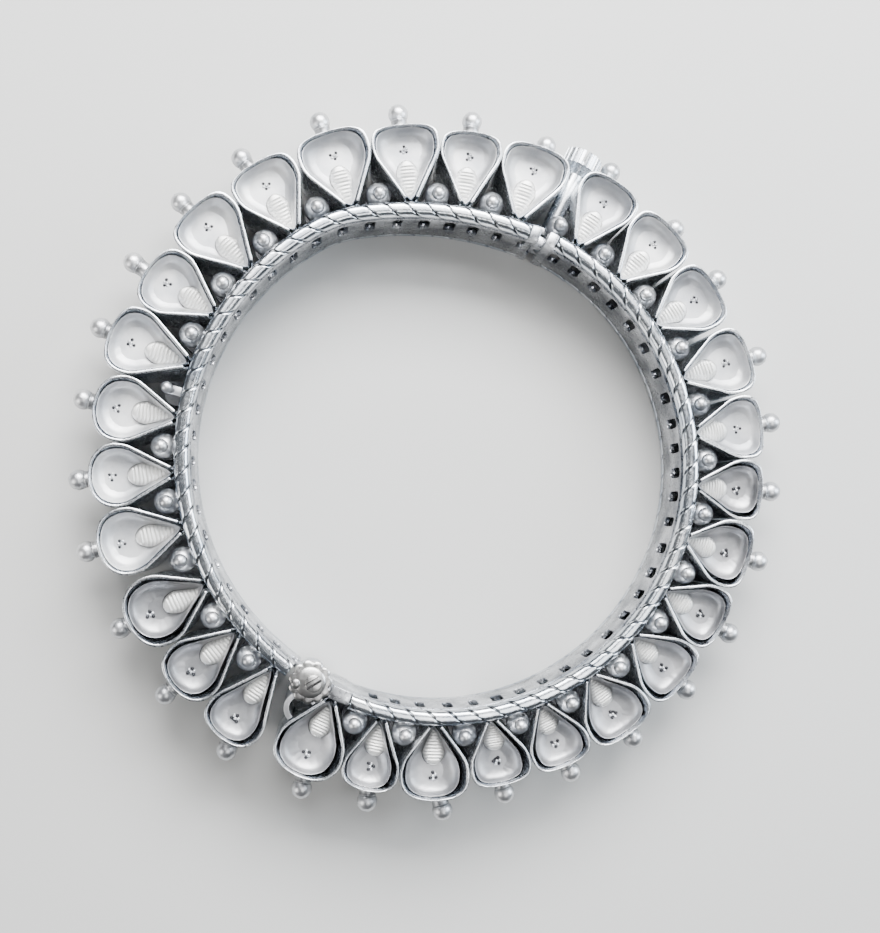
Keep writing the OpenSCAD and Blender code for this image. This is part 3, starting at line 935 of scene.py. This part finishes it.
def place_dome(angle, near_face):
    """The dome in one gap on one face, as large as the cups leave room for, with its tab from the band; its
    bead sits a little off its middle."""
    far = ring_at(angle) + DOMES_OUT
    most = 1.4 if abs(angle - CLASP_AT) < 2 else 1.6    # a smaller one beside the clasp
    size = min(most, min(room(angle, far, number) for number in NUMBERS) - 0.1)
    cap, ball = copy(dome), copy(top_bead)
    cap.scale = (size, size, size)
    cap.location = (*along(angle, far), DOME_UP)
    ball.location = (*(along(angle, far) + Vector((random.uniform(-0.15, 0.15), -0.12))), TOP_BEAD_UP)
    tab = block("tab", satin, angle, (far - 3.0, -0.65, 8.4), (far, 0.65, 9.15))
    # Painted shade: the tab under the dome is dark all over
    mark_tarnish_and_shade(tab, lambda p: 0.7)
    for part in (cap, ball):
        settle(part)
    piece = join("dome_here", cap, ball, tab)
    if not near_face:
        twin = both_faces(piece)
        bpy.data.objects.remove(piece)
        return twin
    return piece


def make_hook():
    """The open barrel behind the hinge, cut away where cup 18 stands."""
    place = along(240.6, 34.95)
    hook = drum("hinge_hook", satin, place, 2.1, 1.5, 10.9)
    take_away(hook, drum("tool", satin, place, 1.45, 1, 12))
    angle, _, rim, _, _, flat = CUPS[17]
    radius = cup_circle(18, 0.1)[0] + 0.16
    middle = rim - flat * radius
    room_for_cup = drop_outline(CUP_R, CUP_D)
    draw_out(radius, middle - ring_at(angle) + 0.45)
    pick_all()
    bpy.ops.mesh.edge_face_add()
    extrude(z=RING_W + 2)
    face_outward()
    close_up(room_for_cup, "tool", satin)
    room_for_cup.rotation_euler.z = math.radians(angle)
    room_for_cup.location = (*along(angle, middle), -1)
    settle(room_for_cup)
    return take_away(hook, room_for_cup)


def make_nut():
    """The block that takes the clasp's screw, with its bore."""
    nut = block("screw_nut", sheet, CLASP_AT, (30.75, -1.2, 3.9), (32.2, 1.25, 8.1), 0.15)
    bore = begin(bpy.ops.mesh.primitive_cylinder_add, vertices=24, radius=0.76, depth=4)
    rotate(90, "Y")
    move(31.5, 0, RING_W / 2)
    close_up(bore, "tool", sheet)
    bore.rotation_euler.z = math.radians(CLASP_AT)
    settle(bore)
    return take_away(nut, bore)


def make_band_long():
    """The long half's strip with its domes, the hinge's leaf and knuckles, the end post and the nut."""
    hinge = along(HINGE_AT, HINGE_R)
    parts = [band_strip(241.5, 423, range(4, 18), "strip_long")]
    parts += [place_dome(angle, face) for angle in LONG_DOMES for face in (True, False)]
    parts += [bent_plate("hinge_leaf", sheet, 240.6, 244.7, -1.04, 0.5, 1.1, 10.9),
              bent_plate("hinge_plate", sheet, 244.6, 249.3, -1.08, 0.6, 0.3, RING_W - 0.3),
              drum("knuckle", satin, hinge, KNUCKLE_R, 1.1, 3.75),
              drum("knuckle", satin, hinge, KNUCKLE_R, 8.25, 10.9),
              make_hook(),
              block("end_post", sheet, 63, (30.52, -0.65, 0.3), (32.32, 0.65, RING_W - 0.3), 0.15),
              make_nut()]
    for part in parts[1:]:
        smooth(part)
    return join("pierced_band_long", *parts)


def make_slim_post():
    """The slim leaning post with a round tip, which stands in one gap of the near face on its tab."""
    far = ring_at(POST_AT)
    tab = block("post_tab", satin, POST_AT, (far - 0.7, -0.55, 8.4), (far + 3.1, 0.55, 9.2))
    post = drum("slim_post", satin, (0, 0), 0.5, 8.4, 11.2, 0.05, 20)
    tip = begin(bpy.ops.mesh.primitive_uv_sphere_add, segments=20, ring_count=14, radius=0.72)
    move(z=11.2)
    post = join("slim_post", post, close_up(tip, "post_tip", satin))
    # Painted shade: darker towards the post's foot
    mark_tarnish_and_shade(post, lambda p: max(0.0, min(1.0, (10.6 - p.z) / 2)))
    post.location = (0, 0, -8.4)
    settle(post)
    post.rotation_euler = (0, math.radians(8), math.radians(POST_AT))
    post.location = (*along(POST_AT, far + DOMES_OUT), 8.4)
    settle(post)
    return tab, post


def make_band_short():
    """The short half's strip with its domes, the slim post, the hinge's leaf and knuckle, and the fork."""
    hinge = along(HINGE_AT, HINGE_R)
    parts = [band_strip(67, 235.6, [*range(19, 30), 1, 2, 3], "strip_short")]
    parts += [place_dome(angle, face) for angle in SHORT_DOMES for face in (True, False)
              if angle != POST_AT or not face]
    parts += [*make_slim_post(), drum("knuckle", satin, hinge, KNUCKLE_R, 3.95, 8.05)]
    leaf_plate = block("hinge_leaf", sheet, 0, (-0.85, -2.8, 3.95), (-0.45, 0, 8.05), 0.05)
    leaf_plate.rotation_euler.z = math.radians(HINGE_AT)
    leaf_plate.location = (*hinge, 0)
    settle(leaf_plate)
    parts.append(leaf_plate)
    post = block("end_post", sheet, 67.2, (30.36, -0.65, 0.3), (32.16, 0.65, RING_W - 0.3), 0.15)
    take_away(post, block("tool", sheet, 66.2, (30, -0.5, 3.6), (32.35, 0.35, 8.4), 0.02))
    parts += [post, block("fork_root", sheet, 67.2, (31, -0.3, 4.35), (33.4, 0.65, 7.65))]
    fork = block("fork_plate", sheet, CLASP_AT, (32.6, -1.2, 4.4), (33.5, 1.9, 7.6), 0.08)
    parts.append(take_away(fork, block("tool", sheet, CLASP_AT, (32, -1.5, 5), (34, 1, 7), 0.02)))
    for part in parts[1:]:
        smooth(part)
    return join("pierced_band_short", *parts)


finish(make_band_long(), "half_long", "band", "band_long")
finish(make_band_short(), "half_short", "band", "band_short")
for part in (dome, top_bead):
    bpy.data.objects.remove(part)


# The hinge pin, and the clasp's screw, which keeps its shape and gets its metal

def make_hinge_pin():
    """The pin with its cast cap: a low crown with eleven flutes round its edge, a slotted boss a little
    off its middle and a small round head beside it."""
    sides = 11 * 8
    piece = begin(bpy.ops.mesh.primitive_circle_add, vertices=sides, radius=2.62)
    for part, size in ((4, 0.9), (3, 0.94), (5, 0.94), (2, 0.98), (6, 0.98)):
        pick("VERT", lambda p: round(angle_of(p) / 360 * sides) % 8 == part)
        resize(size, size, 1)
    pick_all()
    move(z=11.07)
    bpy.ops.mesh.edge_face_add()
    share = 1.0
    for up, part in ((0.06, 1.02), (0.16, 1.02), (0.1, 0.97), (0.05, 0.88), (0.0, 0.7)):
        extrude(z=up)
        resize(part / share, part / share, 1)
        share = part
    close_up(piece, "cap", cast)
    # Painted shade: a ring in the valley round the crown, and darker down the cap's sides
    mark_tarnish_and_shade(piece, lambda p: 0.45 if 2.1 < math.hypot(p.x, p.y) < 2.3 and p.z > 11.3 else
                 max(0.0, min(0.8, (11.3 - p.z) * 3)))
    crown = begin(bpy.ops.mesh.primitive_uv_sphere_add, segments=40, ring_count=20, radius=1.95)
    resize(1, 1, 0.24)
    move(z=11.35)
    close_up(crown, "crown", cast)
    # Painted shade: darker at the crown's base
    mark_tarnish_and_shade(crown, lambda p: max(0.0, min(1.0, (11.5 - p.z) * 5)))
    boss = drum("boss", cast, (0.4, -0.1), 1.05, 11.3, 12.12, 0.2)
    slots = [block("tool", cast, 0, (-1.4, side - half, 11.84), (1.4, side + half, 13), 0.02)
             for side, half in ((-0.12, 0.17), (0.45, 0.06))]
    slot = join("tool", *slots)
    slot.rotation_euler.z = math.radians(30)
    slot.location = (0.4, -0.1, 0)
    settle(slot)
    take_away(boss, slot)
    # Painted shade in the slot
    mark_tarnish_and_shade(boss, lambda p: 1.0 if 11.8 < p.z < 11.9 else 0.0)
    head = begin(bpy.ops.mesh.primitive_uv_sphere_add, segments=20, ring_count=12, radius=0.65)
    resize(1, 1, 0.5)
    move(-1.75, -0.1, 11.5)
    close_up(head, "head", cast)
    # Painted shade at the head's base
    mark_tarnish_and_shade(head, lambda p: max(0.0, min(1.0, (11.55 - p.z) * 3)))
    pin = drum("pin", cast, (0, 0), 0.75, 0.36, 11.2, 0.05, 24)
    foot = drum("riveted_end", cast, (0, 0), 1.2, 0.36, 1.0, 0.15)
    for part in (pin, foot):
        mark_tarnish_and_shade(part, lambda p: 0.3)
    for part in (piece, crown, boss, head, pin, foot):
        smooth(part, 40)
    piece = join("hinge_pin_with_cap", piece, crown, boss, head, pin, foot)
    piece.location = (*along(HINGE_AT, HINGE_R), 0)
    settle(piece)
    return piece


finish(make_hinge_pin(), "half_long", "pin_cap", "hinge_pin")
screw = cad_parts["clasp_screw"].data
screw.materials.clear()
screw.materials.append(rubbed)
